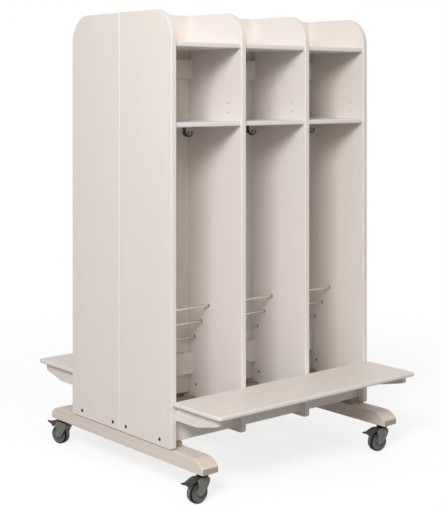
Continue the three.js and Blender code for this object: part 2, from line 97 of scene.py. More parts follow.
def ringQuads(rings, count, loop=False):
    # The quad at ring j and place i joins (j, i), (j, i + 1), (j + 1, i + 1) and (j + 1, i), and i goes
    # round. In a loop the last ring is joined to the first as well.
    j, i = np.meshgrid(np.arange(rings if loop else rings - 1), np.arange(count), indexing="ij")
    following = (i + 1) % count
    low, high = j * count, (j + 1) % rings * count
    return np.stack([low + i, low + following, high + following, high + i], 2).reshape(-1, 4)


def board(corners, low, high, axes, rim=2.5, steps=3):
    # An outline P with normals n is carried from low to high. At each end, for t from 90 degrees to 0:
    # point = P - r (1 - cos t) n, and its distance from the end face = r (1 - sin t).
    # A corner may name a rim r of its own as its fourth value, and is never sharper than its rim, because
    # the outline of the end face would cross itself there.
    rims = [corner[3] if len(corner) > 3 else rim for corner in corners]
    rounded = [(*corner[:2], max((*corner, 0.2)[2], own + 0.05)) for corner, own in zip(corners, rims)]
    points, outwards, cornerOf = cornerArcs(rounded)
    r = np.array(rims, float)[cornerOf]
    t = np.linspace(np.pi / 2, 0, steps + 1)[:, None]
    inset = r * (1 - np.cos(t))
    climb = r * (1 - np.sin(t))
    insets = np.concatenate([inset, inset[::-1]])
    levels = np.concatenate([low + climb, high - climb[::-1]])
    flat = points[None] - insets[:, :, None] * outwards[None]
    verts = np.concatenate([flat, levels[:, :, None]], 2).reshape(-1, 3) @ axes * millimetre
    count = len(points)
    last = (len(levels) - 1) * count
    return verts, ringQuads(len(levels), count), [np.arange(count)[::-1], np.arange(count) + last]


def revolved(profile, sides=32, axes=alongZ, place=(0, 0, 0), loop=False):
    # A profile of (radius r, height h) is turned round its axis: point = (r cos a, r sin a, h).
    # A loop is a ring that is open in the middle, and any other profile is closed by flat ends.
    r, h = np.array(profile, float).T
    a = np.linspace(0, 2 * np.pi, sides, endpoint=False)
    grid = np.stack([np.outer(r, np.cos(a)), np.outer(r, np.sin(a)), np.outer(h, np.ones(sides))], 2)
    verts = (grid.reshape(-1, 3) @ axes + np.array(place, float)) * millimetre
    last = (len(r) - 1) * sides
    ends = [] if loop else [np.arange(sides)[::-1], np.arange(sides) + last]
    return verts, ringQuads(len(r), sides, loop), ends


def tube(path, radii, sides=14):
    # A round section is carried along a path: point = P + r (cos a u + sin a v), where u is square to
    # the tangent and to X, and v is square to both
    path = np.array(path, float)
    tangent = np.gradient(path, axis=0)
    tangent /= np.linalg.norm(tangent, axis=1)[:, None]
    u = np.cross(tangent, (1.0, 0, 0))
    u /= np.linalg.norm(u, axis=1)[:, None]
    v = np.cross(tangent, u)
    a = np.linspace(0, 2 * np.pi, sides, endpoint=False)
    rim = np.cos(a)[None, :, None] * u[:, None] + np.sin(a)[None, :, None] * v[:, None]
    verts = (path[:, None] + np.array(radii, float)[:, None, None] * rim).reshape(-1, 3) * millimetre
    last = (len(path) - 1) * sides
    return verts, ringQuads(len(path), sides), [np.arange(sides)[::-1], np.arange(sides) + last]


def throughPoints(controls, count):
    # A smooth path through the controls: between Q1 and Q2, with t from 0 to 1, it is
    # ((2 Q1) + (Q2 - Q0) t + (2 Q0 - 5 Q1 + 4 Q2 - Q3) t^2 + (3 Q1 - Q0 - 3 Q2 + Q3) t^3) / 2
    q = np.array(controls, float)
    q = np.concatenate([[2 * q[0] - q[1]], q, [2 * q[-1] - q[-2]]])
    s = np.linspace(0, len(controls) - 1, count)
    i = np.minimum(s.astype(int), len(controls) - 2)
    t = (s - i)[:, None]
    q0, q1, q2, q3 = q[i], q[i + 1], q[i + 2], q[i + 3]
    square = (2 * q0 - 5 * q1 + 4 * q2 - q3) * t**2
    cube = (3 * q1 - q0 - 3 * q2 + q3) * t**3
    return (2 * q1 + (q2 - q0) * t + square + cube) / 2


def turned(shell, angle, place=(0, 0)):
    # Turned about Z: (x cos a - y sin a, x sin a + y cos a), then moved in the floor's plane
    c, s = math.cos(angle), math.sin(angle)
    spin = np.array([(c, s, 0), (-s, c, 0), (0, 0, 1)])
    return (shell[0] @ spin + np.array([*place, 0]), *shell[1:])


def makePiece(name, shells, material, body="cabinet", nodes=(), grainAlong=None, band=None):
    starts = np.cumsum([0] + [len(shell[0]) for shell in shells])
    verts = np.concatenate([shell[0] for shell in shells])
    faces = np.concatenate([shell[1] + start for shell, start in zip(shells, starts)]).tolist()
    faces += [(cap + start).tolist() for shell, start in zip(shells, starts) for cap in shell[2]]
    mesh = bpy.data.meshes.new(name)
    mesh.from_pydata(verts.tolist(), [], faces)
    mesh.polygons.foreach_set("use_smooth", np.ones(len(mesh.polygons), bool))
    mesh.set_sharp_from_angle(angle=math.radians(42))
    if grainAlong is not None:
        # The grain's own coordinates: along, across and through the board, with a start of their own
        order = [grainAlong] + [axis for axis in (1, 0, 2) if axis != grainAlong]
        field = verts[:, order] + chance.uniform(-4, 4, 3)
        mesh.attributes.new("grain", "FLOAT_VECTOR", "POINT").data.foreach_set("vector", field.ravel())
    if band is not None:
        mesh.attributes.new("band", "FLOAT", "POINT").data.foreach_set("value", band)
    mesh.materials.append(material)
    piece = bpy.data.objects.new(name, mesh)
    bpy.context.scene.collection.objects.link(piece)
    weighted = piece.modifiers.new("even faces", "WEIGHTED_NORMAL")
    weighted.keep_sharp = True
    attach(piece, body)
    if nodes:
        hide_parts(*nodes)


# Adds nodes to one material and joins them
class Nodes:
    def __init__(self, name):
        self.material = bpy.data.materials.new(name)
        self.material.use_nodes = True
        self.tree = self.material.node_tree
        self.shader = self.tree.nodes["Principled BSDF"]

    def add(self, kind, inputs=None, **settings):
        node = self.tree.nodes.new(kind)
        for key, value in settings.items():
            setattr(node, key, value)
        for key, value in (inputs or {}).items():
            if isinstance(value, bpy.types.NodeSocket):
                self.tree.links.new(value, node.inputs[key])
            else:
                node.inputs[key].default_value = value
        return node

    def mix(self, factor, first, second, blend="MIX"):
        node = self.add("ShaderNodeMix", data_type="RGBA", blend_type=blend, clamp_factor=True)
        for key, value in ((0, factor), (6, first), (7, second)):
            if isinstance(value, bpy.types.NodeSocket):
                self.tree.links.new(value, node.inputs[key])
            else:
                node.inputs[key].default_value = value
        return node.outputs[2]

    def ramp(self, value, low, high, start=0.0, end=1.0):
        limits = {"From Min": low, "From Max": high, "To Min": start, "To Max": end}
        return self.add("ShaderNodeMapRange", {"Value": value, **limits}).outputs[0]

    def stretched(self, place, scale):
        return self.add("ShaderNodeMapping", {"Vector": place, "Scale": scale}).outputs[0]

    def noise(self, place, scale=1.0, detail=2.0, roughness=0.5):
        inputs = {"Vector": place, "Scale": scale, "Detail": detail, "Roughness": roughness}
        return self.add("ShaderNodeTexNoise", inputs).outputs

    def set(self, **values):
        for key, value in values.items():
            socket = self.shader.inputs[key.replace("_", " ")]
            if isinstance(value, bpy.types.NodeSocket):
                self.tree.links.new(value, socket)
            else:
                socket.default_value = value


def woodFinish(name, look):
    made = Nodes(name)
    grain = made.add("ShaderNodeAttribute", attribute_name="grain").outputs["Vector"]
    wander = made.noise(made.stretched(grain, (0.9, 3.2, 3.2)))["Color"]
    drift = {0: wander, "Scale": look["wander"]}
    swing = made.add("ShaderNodeVectorMath", drift, operation="SCALE").outputs[0]
    bent = made.add("ShaderNodeVectorMath", {0: grain, 1: swing}, operation="ADD").outputs[0]
    ringInputs = {"Vector": made.stretched(bent, (0.05, 1.0, 1.0)), "Scale": look["rings"],
                  "Distortion": 2.2, "Detail": 2.0, "Detail Scale": 1.5}
    rings = made.add("ShaderNodeTexWave", ringInputs, wave_type="RINGS", rings_direction="X",
                     wave_profile="SAW").outputs["Fac"]
    fibres = made.noise(made.stretched(bent, (9.0, 620.0, 620.0)), 1.0, 3.0, 0.6)["Fac"]
    streaks = made.noise(made.stretched(bent, (1.6, 42.0, 42.0)), 1.0, 4.0, 0.55)["Fac"]
    clouds = made.noise(made.stretched(grain, (1.3, 6.0, 6.0)))["Fac"]
    light, dark, warm = ((*look[tone], 1) for tone in ("light", "dark", "warm"))
    colour = made.mix(made.ramp(rings, 0.15, 0.95, 0.0, look["ringShare"]), light, dark)
    colour = made.mix(made.ramp(streaks, 0.35, 0.75, 0.0, look["streakShare"]), colour, dark)
    colour = made.mix(made.ramp(fibres, 0.45, 0.8, 0.0, look["fibreShare"]), colour, dark)
    colour = made.mix(made.ramp(clouds, 0.3, 0.7, 0.0, look["cloudShare"]), colour, warm)
    if "endGrain" in look:
        # The ends of a beam that runs along Y: the share of end grain grows as |normal y| goes to 1
        normal = made.add("ShaderNodeTexCoord").outputs["Normal"]
        facing = made.add("ShaderNodeSeparateXYZ", {0: normal}).outputs[1]
        across = made.add("ShaderNodeMath", {0: facing}, operation="ABSOLUTE").outputs[0]
        colour = made.mix(made.ramp(across, 0.90, 0.985), colour, (*look["endGrain"], 1))
    height = made.mix(0.4, fibres, rings)
    bump = made.add("ShaderNodeBump", {"Strength": look["bump"], "Distance": 0.0004, "Height": height})
    roughness = made.ramp(streaks, 0.2, 0.8, look["gloss"] - 0.06, look["gloss"] + 0.08)
    made.set(Base_Color=colour, Roughness=roughness, Normal=bump.outputs[0])
    made.set(Coat_Weight=look["coat"], Coat_Roughness=0.35)
    return made.material


def metalFinish(name, look):
    made = Nodes(name)
    place = made.add("ShaderNodeTexCoord").outputs["Object"]
    drawn = made.noise(made.stretched(place, look["stretch"]), 1.0, 3.0)["Fac"]
    smudges = made.noise(place, 38.0, 4.0, 0.6)["Fac"]
    colour = made.mix(made.ramp(smudges, 0.35, 0.75, 0.0, 0.35), (*look["light"], 1), (*look["dark"], 1))
    roughness = made.ramp(drawn, 0.25, 0.75, look["gloss"] - 0.05, look["gloss"] + 0.1)
    bump = made.add("ShaderNodeBump", {"Strength": 0.15, "Distance": 0.0001, "Height": drawn})
    made.set(Base_Color=colour, Roughness=roughness, Normal=bump.outputs[0], Metallic=1.0)
    return made.material


def mouldedFinish(name, look):
    made = Nodes(name)
    place = made.add("ShaderNodeTexCoord").outputs["Object"]
    skin = made.noise(place, look["skin"])["Fac"]
    wear = made.noise(place, 55.0, 5.0, 0.65)["Fac"]
    dusty = made.ramp(wear, 0.45, 0.8, 0.0, look["wear"])
    colour = made.mix(dusty, (*look["colour"], 1), (*look["dust"], 1))
    if "worn" in look:
        # The running surface of a tread, paler in patches where the band attribute is high
        band = made.add("ShaderNodeAttribute", attribute_name="band").outputs["Fac"]
        patches = made.ramp(wear, 0.3, 0.7, 0.7, 1.0)
        paleShare = made.add("ShaderNodeMath", {0: band, 1: patches}, operation="MULTIPLY")
        colour = made.mix(paleShare.outputs[0], colour, (*look["worn"], 1))
    bump = made.add("ShaderNodeBump", {"Strength": look["bump"], "Distance": 0.0002, "Height": skin})
    roughness = made.ramp(wear, 0.3, 0.75, look["gloss"] - 0.05, look["gloss"] + 0.12)
    made.set(Base_Color=colour, Roughness=roughness, Normal=bump.outputs[0])
    made.set(Specular_IOR_Level=look["shine"])
    return made.material


glazed = {"light": (0.835, 0.778, 0.735), "dark": (0.73, 0.65, 0.59), "warm": (0.81, 0.745, 0.69),
          "wander": 0.05, "rings": 14.0, "ringShare": 0.09, "streakShare": 0.15, "fibreShare": 0.22,
          "cloudShare": 0.4, "bump": 0.1, "gloss": 0.5, "coat": 0.1}
plyTones = {"light": (0.84, 0.785, 0.715), "dark": (0.73, 0.655, 0.57), "warm": (0.82, 0.745, 0.665)}
footTones = {"light": (0.80, 0.705, 0.645), "dark": (0.67, 0.56, 0.47), "warm": (0.78, 0.67, 0.60),
             "endGrain": (0.43, 0.355, 0.28)}
# Dark brown tones for the low rails behind the bench and the ledges behind the end uprights, which stand
# in deep shade there: the darkness is painted shade
paintedShadeTones = {"light": (0.44, 0.34, 0.22), "dark": (0.26, 0.18, 0.10), "warm": (0.38, 0.27, 0.16)}
glazedWood = woodFinish("glazedWood", glazed)
# A lighter, cooler copy of the glaze for the partitions and shelves, as painted light: it brightens the
# walls inside the bays and offsets the warm light bounced between them
innerGlazePaintedLight = woodFinish("innerGlazePaintedLight", {**glazed, "light": (0.84, 0.79, 0.77),
                                       "warm": (0.815, 0.76, 0.735)})
paintedShadeTimber = woodFinish("paintedShadeTimber", {**glazed, **paintedShadeTones, "rings": 13.0, "ringShare": 0.4, "coat": 0.0})
railWood = woodFinish("railWood", {**glazed, "light": (0.81, 0.748, 0.695)})
backPly = woodFinish("backPly", {**glazed, **plyTones, "rings": 6.0, "ringShare": 0.35})
footTimber = woodFinish("footTimber", {**glazed, **footTones, "rings": 13.0, "ringShare": 0.4,
                                       "gloss": 0.55})

barSteel = metalFinish("barSteel", {
    "light": (0.70, 0.68, 0.65), "dark": (0.50, 0.48, 0.45), "gloss": 0.16,
    "stretch": (20.0, 900.0, 900.0)})
hookSteel = metalFinish("hookSteel", {
    "light": (0.17, 0.145, 0.115), "dark": (0.05, 0.042, 0.033), "gloss": 0.16,
    "stretch": (60.0, 60.0, 60.0)})
zincSteel = metalFinish("zincSteel", {
    "light": (0.58, 0.58, 0.58), "dark": (0.38, 0.38, 0.40), "gloss": 0.35,
    "stretch": (300.0, 40.0, 300.0)})
axleSteel = metalFinish("axleSteel", {
    "light": (0.20, 0.20, 0.20), "dark": (0.11, 0.11, 0.11), "gloss": 0.4,
    "stretch": (200.0, 200.0, 200.0)})
moulded = {"skin": 1800.0, "wear": 0.4, "bump": 0.2, "gloss": 0.44, "shine": 0.4}
castorGrey = mouldedFinish("castorGrey", {
    **moulded, "colour": (0.150, 0.158, 0.136), "dust": (0.24, 0.24, 0.215)})
pedalGrey = mouldedFinish("pedalGrey", {
    **moulded, "colour": (0.042, 0.048, 0.038), "dust": (0.085, 0.09, 0.072)})
coreGrey = mouldedFinish("coreGrey", {
    **moulded, "colour": (0.125, 0.128, 0.136), "dust": (0.19, 0.19, 0.19)})
treadBlack = mouldedFinish("treadBlack", {
    "colour": (0.006, 0.0065, 0.007), "dust": (0.03, 0.029, 0.028), "worn": (0.23, 0.23, 0.24),
    "skin": 900.0, "wear": 0.5, "bump": 0.3, "gloss": 0.65, "shine": 0.12})
ringBeige = mouldedFinish("ringBeige", {
    **moulded, "colour": (0.25, 0.205, 0.155), "dust": (0.35, 0.30, 0.24)})
# Near-black for the bolts and screws, also used on the castors' steel races as painted shade
boltBlackAndRaceShade = mouldedFinish("boltBlackAndRaceShade", {
    **moulded, "colour": (0.008, 0.007, 0.006), "dust": (0.03, 0.027, 0.024),
    "gloss": 0.6, "shine": 0.15})
# Dark brown painted shade for the drilled pin holes
holeShadeBrown = mouldedFinish("holeShadeBrown", {
    **moulded, "colour": (0.17, 0.14, 0.115), "dust": (0.26, 0.22, 0.19)})
print("materials made")


def span(node, axis):
    low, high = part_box(node)
    return low[axis] / millimetre, high[axis] / millimetre


# The boards of one half, in the front half's place. The rear half is the same, turned half round.
boards = {"rim": 2.6, "seamRim": 4.0, "topCorner": 106, "footCorner": 11, "shelfEdge": 4.5,
          "benchRim": 4.7, "benchCorner": 12, "bracketTip": 28, "bracketTipCorner": 8,
          "bracketTaper": 116, "bracketHollow": 30}
# Low rails behind the bench, one a bay, let into the walls by the tuck
footRail = {"face": -47, "back": -24, "foot": 196, "top": 244, "edge": 2, "rim": 0.4, "tuck": 0.3}
bayNumbers = (1, 2, 3)
halves = (("front", 0.0), ("rear", math.pi))


def plainBoard(node, axes, rim):
    first, second, third = (int(np.argmax(abs(row))) for row in axes)
    a, b = span(node, first), span(node, second)
    low, high = sorted(np.array(span(node, third)) * axes[2][third])
    corners = [(a[0], b[0], rim), (a[1], b[0], rim), (a[1], b[1], rim), (a[0], b[1], rim)]
    return board(corners, low, high, axes, rim)


def uprightShell(node, backRim):
    front, back = span(node, depthAxis)
    foot, top = span(node, upAxis)
    rim = boards["rim"]
    corners = [(front, foot, boards["footCorner"]), (back, foot, rim, backRim),
               (back, top, rim, backRim), (front, top, boards["topCorner"])]
    return board(corners, *span(node, rowAxis), alongX, rim)


def shelfShell(node):
    front, back = span(node, depthAxis)
    foot, top = span(node, upAxis)
    edge = boards["shelfEdge"]
    corners = [(front, foot, edge), (back, foot), (back, top), (front, top, edge)]
    return board(corners, *span(node, rowAxis), alongX, 0.2, 1)


def benchShell(node):
    left, right = span(node, rowAxis)
    front, back = span(node, depthAxis)
    bend, rim = boards["benchCorner"], boards["benchRim"]
    corners = [(left, front, bend), (right, front, bend), (right, back, rim + 0.1),
               (left, back, rim + 0.1)]
    return board(corners, *span(node, upAxis), alongZ, rim, 5)


def bracketShell(node):
    front, back = span(node, depthAxis)
    foot, top = span(node, upAxis)
    rim = boards["rim"]
    corners = [(front, top - boards["bracketTip"], boards["bracketTipCorner"]),
               (front + boards["bracketTaper"], foot, boards["bracketHollow"]),
               (back, foot, 3), (back, top, rim), (front, top, rim)]
    return board(corners, *span(node, rowAxis), alongX, rim)


def footRailShells():
    low, high, edge = footRail["foot"], footRail["top"], footRail["edge"]
    corners = [(footRail["face"], low, edge), (footRail["back"], low), (footRail["back"], high),
               (footRail["face"], high, edge)]
    walls = [span(f"front_hat_shelf_{number}", rowAxis) for number in bayNumbers]
    return [board(corners, left - footRail["tuck"], right + footRail["tuck"], alongX, footRail["rim"], 1)
            for left, right in walls]


def makeBoard(half, turn, word, node, shell, material, slot, grainAlong):
    nodes = [f"{half}_{node}"]
    makePiece(f"{half}_{word}", [turned(shell, turn)], material, nodes=nodes,
              grainAlong=grainAlong)


def ownNumber(half, number, total):
    return number if half == "front" else total + 1 - number


for half, turn in halves:
    # Seen in the front half's place, the rear half's nodes have left and right swapped, and so their
    # numbers
    hands = ("left", "right") if half == "front" else ("right", "left")
    # The partitions and shelves take the glaze's lighter copy, which is painted light
    glaze, inner = (glazedWood, "glazed_wood"), (innerGlazePaintedLight, "glazed_wood")
    for hand, frontHand in zip(hands, ("left", "right")):
        shell = uprightShell(f"front_{frontHand}_end_upright", boards["seamRim"])
        makeBoard(half, turn, f"{hand}_endBoard", f"{hand}_end_upright", shell, *glaze, upAxis)
        shell = bracketShell(f"front_{frontHand}_bench_bracket")
        makeBoard(half, turn, f"{hand}_bracketBoard", f"{hand}_bench_bracket", shell, *glaze, depthAxis)
    for number in (1, 2):
        own = ownNumber(half, number, 2)
        shell = uprightShell(f"front_partition_{number}", boards["rim"])
        makeBoard(half, turn, f"partitionBoard{own}", f"partition_{own}", shell, *inner, upAxis)
    for number in bayNumbers:
        own = ownNumber(half, number, 3)
        for kind, word in (("top_shelf", "topShelfBoard"), ("hat_shelf", "hatShelfBoard")):
            shell = shelfShell(f"front_{kind}_{number}")
            makeBoard(half, turn, f"{word}{own}", f"{kind}_{own}", shell, *inner, rowAxis)
    makeBoard(half, turn, "backSheet", "back_board", plainBoard("front_back_board", alongY, 0.4), backPly,
              "back_ply", upAxis)
    for kind, word in (("upper_rail", "upperRailBoard"), ("lower_rail", "lowerRailBoard")):
        shell = plainBoard(f"front_{kind}", alongY, boards["rim"])
        makeBoard(half, turn, word, kind, shell, railWood, "rail_wood", rowAxis)
    # The low rails' dark brown is painted shade under the bench
    makePiece(f"{half}_footRails", [turned(shell, turn) for shell in footRailShells()], paintedShadeTimber,
              grainAlong=rowAxis)
    makeBoard(half, turn, "benchBoard", "bench", benchShell("front_bench"), *glaze, rowAxis)
    shell = plainBoard("front_apron", alongY, boards["rim"])
    makeBoard(half, turn, "apronBoard", "apron", shell, *glaze, rowAxis)
print("boards made")

# Foot beams: a bar whose top runs down to its ends in an arc, and a ledge behind the end uprights
beams = {"rim": 3.0, "height": 50, "width": 72, "endFall": 58, "endFace": 22, "ledge": 45, "gap": 0.3,
         "ledgeEnd": 297, "shoulder": 265.7, "tongueTop": 174.3}


def beamShells(side, node):
    xs, ys, zs = span(node, rowAxis), span(node, depthAxis), span(node, upAxis)
    end, low, rim = ys[1], zs[0], beams["rim"]
    top = low + beams["height"]
    drop = beams["height"] - beams["endFace"]
    # The arc meets the level top with radius r = (fall^2 + drop^2) / (2 drop), and its points are
    # (end - fall + r sin a, top - r (1 - cos a))
    radius = (beams["endFall"] ** 2 + drop**2) / (2 * drop)
    a = np.linspace(math.asin(beams["endFall"] / radius), 0, 13)
    curve = np.stack([end - beams["endFall"] + radius * np.sin(a), top - radius * (1 - np.cos(a))], 1)
    corners = [(-end, low, 2), (end, low, 2), (*curve[0], 5), *curve[1:].tolist(),
               *[(-y, z) for y, z in curve[:0:-1]], (-curve[0][0], curve[0][1], 5)]
    outer = max(abs(x) for x in xs)
    bar = sorted((side * outer, side * (outer - beams["width"])))
    wall = abs(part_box("front_right_end_upright")[0][rowAxis]) / millimetre - beams["gap"]
    ledge = sorted((side * wall, side * (wall + beams["gap"] - beams["ledge"])))
    reach, shoulder, tongue, root = beams["ledgeEnd"], beams["shoulder"], beams["tongueTop"], low + 20
    step = [(-reach, root), (reach, root), (reach, tongue, 2.6), (shoulder, tongue, 1),
            (shoulder, zs[1], 2.6), (-shoulder, zs[1], 2.6), (-shoulder, tongue, 1),
            (-reach, tongue, 2.6)]
    return board(corners, *bar, alongX, rim, 4), board(step, *ledge, alongX, 2.5)


for side, word in ((-1, "left"), (1, "right")):
    bar, ledge = beamShells(side, f"{word}_foot_beam")
    makePiece(f"{word}_footTimber", [bar], footTimber, nodes=[f"{word}_foot_beam"],
              grainAlong=depthAxis)
    # The ledge's dark brown is painted shade behind the upright's foot
    makePiece(f"{word}_footLedge", [ledge], paintedShadeTimber, grainAlong=depthAxis)

# Coat hooks on their rail: a plate with two screws and two bent prongs with balls
hooks = {"inset": 42, "plate": (16, 33, 3), "reach": 43, "drop": 14, "rise": 15, "spread": 9, "wire": 3.0,
         "ball": 4.6, "screw": 3.2, "screwInset": 5, "railHeight": 46, "railGap": 0.3}


def ballProfile(radius, steps=10):
    # r = R sin t and h = -R cos t, with t from near 0 to near 180 degrees
    t = np.linspace(0.12, np.pi - 0.12, steps)
    return np.stack([radius * np.sin(t), -radius * np.cos(t)], 1)


def screwShell(place, axes, radius, height=1.6):
    # A domed head with a small hollow at its middle, drawn as a dish
    profile = [(radius, -0.4), (radius, 0.25), (radius * 0.9, 0.55 * height),
               (radius * 0.62, 0.9 * height), (radius * 0.4, height), (radius * 0.3, height * 0.45),
               (radius * 0.05, height * 0.4)]
    return revolved(profile, 20, axes, place)


def hookShells(x, face, middle):
    wide, tall, thick = hooks["plate"][0] / 2, hooks["plate"][1] / 2, hooks["plate"][2]
    edges = [(-wide, -tall), (wide, -tall), (wide, tall), (-wide, tall)]
    corners = [(x + across, middle + up, 4.4) for across, up in edges]
    shells = [board(corners, -face - 0.5, -face + thick, alongY, 1.2)]
    drop, reach, spread = hooks["drop"], hooks["reach"], hooks["spread"]
    root = middle - drop / 2
    for lean in (-spread, spread):
        controls = [(x + lean * 0.4, face + 1, root), (x + lean * 0.6, face - reach * 0.45, root - drop),
                    (x + lean * 0.85, face - reach * 0.85, root - drop * 0.8),
                    (x + lean, face - reach + hooks["ball"], root - drop + hooks["rise"])]
        path = throughPoints(controls, 28)
        shells.append(tube(path, hooks["wire"] * (1 + 0.35 * np.exp(-np.linspace(0, 9, 28)))))
        shells.append(revolved(ballProfile(hooks["ball"]), 18, alongZ, path[-1]))
    for up in (-1, 1):
        place = (x, face - thick, middle + up * (tall - hooks["screwInset"]))
        shells.append(screwShell(place, alongY, hooks["screw"]))
    return shells


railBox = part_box("front_lower_rail")
railFace, railBack = railBox[0][depthAxis] / millimetre, railBox[1][depthAxis] / millimetre
railTop = span("front_hat_shelf_1", upAxis)[0] - hooks["railGap"]
railFoot = railTop - hooks["railHeight"]
for half, turn in halves:
    edges = [(railFace, railFoot), (railBack, railFoot), (railBack, railTop), (railFace, railTop)]
    rail = board([(*edge, 2.6) for edge in edges], *span("front_lower_rail", rowAxis), alongX, 0.5)
    makeBoard(half, turn, "hookRailBoard", "hook_rail", rail, railWood, "rail_wood", rowAxis)
    for number in bayNumbers:
        low, high = span(f"front_hat_shelf_{number}", rowAxis)
        inset = hooks["inset"] - hooks["railGap"]
        for word, x in (("A", low + inset), ("B", high - inset)):
            shells = [turned(shell, turn) for shell in hookShells(x, railFace, (railFoot + railTop) / 2)]
            makePiece(f"{half}_coatHook{number}{word}", shells, hookSteel)
print("beams and hooks made")

# Boot bars with a ring at each wall, and the small fittings in the walls
bars = {"radius": 5, "ringRadius": 7.6, "ringThick": 2.4, "chamfer": 0.8}


def barShell(node):
    low, high = span(node, rowAxis)
    middle = (sum(span(node, depthAxis)) / 2, sum(span(node, upAxis)) / 2)
    r, cut = bars["radius"], bars["chamfer"]
    along = np.linspace(low + cut, high - cut, 13)
    profile = [(r - cut, low), *[(r, place) for place in along], (r - cut, high)]
    return revolved(profile, 28, alongX, (0, *middle)), middle


def ringShell(wall, outward, middle):
    # A moulded ring on a wall face: a short collar with a rounded outer lip, built out from the wall
    inner, outer, thick = bars["radius"] + 0.1, bars["ringRadius"], bars["ringThick"]
    profile = [(outer, -0.2), (outer, thick * 0.35), (outer - 0.5, thick * 0.7), (outer - 1.2, thick),
               (inner + 0.5, thick), (inner, thick * 0.8)]
    return revolved(profile, 28, alongX if outward > 0 else againstX, (wall, *middle))


wallFaces = []
for number in bayNumbers:
    low, high = span(f"front_hat_shelf_{number}", rowAxis)
    wallFaces += [(low - hooks["railGap"], 1), (high + hooks["railGap"], -1)]
for half, turn in halves:
    rings = []
    for number in (1, 2, 3):
        bar, middle = barShell(f"front_boot_bar_{number}")
        makePiece(f"{half}_bootBar{number}", [turned(bar, turn)], barSteel,
                  nodes=[f"{half}_boot_bar_{number}"])
        rings += [turned(ringShell(wall, outward, middle), turn) for wall, outward in wallFaces]
    makePiece(f"{half}_barRings", rings, ringBeige)

fittings = {"boltRadius": 6.6, "boltDepths": (42, 250), "boltHeight": 182.6, "pinDepth": 244,
            "pinRadius": 2.6, "pinHeights": (1350.6, 1385.6), "screwDepth": 48.5, "screwHeight": 288,
            "screwRadius": 4.6}


def boltShell(place, axes):
    # A flat head with a rounded rim round a shallow round socket
    radius = fittings["boltRadius"]
    profile = [(radius, -0.5), (radius, 0.3), (radius - 0.6, 0.9), (radius * 0.55, 1.0),
               (radius * 0.5, 0.35), (0.2, 0.3)]
    return revolved(profile, 24, axes, place)


def cupShell(place, axes, radius):
    # A drilled hole, drawn as a thin dish with a soft rim; its dark brown is painted shade inside the
    # hole
    profile = [(radius + 0.25, -0.1), (radius + 0.2, 0.06), (radius - 0.1, 0.08), (radius - 0.3, 0.02),
               (0.1, 0.02)]
    return revolved(profile, 18, axes, place)


outerFace = span("front_right_end_upright", rowAxis)[1]
bolts = [boltShell((side * outerFace, -depth, fittings["boltHeight"]), alongX if side > 0 else againstX)
         for side in (-1, 1) for depth in fittings["boltDepths"]]
screws, holes = [], []
for wall, outward in wallFaces:
    axes = alongX if outward > 0 else againstX
    place = (wall, -fittings["screwDepth"], fittings["screwHeight"])
    screws.append(screwShell(place, axes, fittings["screwRadius"], 1.4))
    for height in fittings["pinHeights"]:
        holes.append(cupShell((wall, -fittings["pinDepth"], height), axes, fittings["pinRadius"]))
for half, turn in halves:
    makePiece(f"{half}_footBolts", [turned(shell, turn) for shell in bolts + screws], boltBlackAndRaceShade)
    makePiece(f"{half}_pinHoles", [turned(shell, turn) for shell in holes], holeShadeBrown)
print("bars and fittings made")

# Castors, drawn round the swivel pin with the wheel trailing towards +X, then turned to their heading
castor = {"trail": 24, "axle": 37.53, "wheel": 37.6, "halfWheel": 15, "pocketFrom": 148, "pocketTo": 100,
          "shoe": 39.0, "shoeFrom": 78, "shoeTo": 28, "heel": 45.8, "heelAt": 30,
          "cheek": (16.5, 20.5), "top": 89.6,
          "front": -18, "back": 34, "crownBack": 17, "lobe": 14, "pocket": 41.5, "pinBack": 27,
          "pinHeight": 81, "race": 21, "raceFoot": 90, "pinFoot": 78, "plate": (72, 50, 3), "height": 105,
          "slotInset": 11, "pedalWidth": 25, "pedalTop": 93, "tip": (76, 92), "tipHeight": 82, "swing": 9}


def aboutAxle(radius, start, end, steps):
    # (trail + r cos a, axle height + r sin a), with a in degrees up from straight behind the axle
    a = np.radians(np.linspace(start, end, steps))
    return np.stack([castor["trail"] + radius * np.cos(a), castor["axle"] + radius * np.sin(a)], 1)


def forkShells():
    c = castor
    foot, axle, pin, top, front = c["axle"] - c["lobe"], c["axle"], c["pinHeight"], c["top"], c["front"]
    outline = [(c["trail"] - 18, foot + 8, 14), (c["trail"] + c["lobe"], foot, c["lobe"] - 1),
               (c["trail"] + 5, axle + 25, 12), (c["back"], pin - 6, 4), (c["back"], pin + 5, 4),
               (c["back"] - 12, top, 6), (front, top, 9), (front, axle + 34, 22)]
    inner, outer = c["cheek"]
    shells = [board(outline, *sorted((side * inner, side * outer)), alongY, 1.3, 3) for side in (-1, 1)]
    arc = aboutAxle(c["pocket"], c["pocketFrom"], c["pocketTo"], 12)
    crown = [(c["crownBack"], top - 0.1, 4), (front + 0.3, top - 0.1, 9), (front + 0.3, axle + 34, 21),
             *[(x, z, 0.3) for x, z in arc]]
    shells.append(board(crown, -inner - 0.5, inner + 0.5, alongY, 0.4, 1))
    boss = [(9.5, 20.0), (9.5, 20.9), (9.0, 21.4), (7.6, 21.6), (7.2, 21.2), (0.2, 21.2)]
    for axes in (alongY, againstY):
        shells.append(revolved(boss, 32, axes, (c["trail"], 0, axle)))
    return shells


def axleShells():
    c = castor
    shells = [revolved([(3.4, -19), (3.4, 19)], 20, alongY, (c["trail"], 0, c["axle"]))]
    head = [(6.2, 20.8), (6.2, 21.8), (5.6, 22.4), (3.6, 22.6), (3.0, 22.2), (0.2, 22.2)]
    for axes in (alongY, againstY):
        shells.append(revolved(head, 24, axes, (c["trail"], 0, c["axle"])))
    return shells


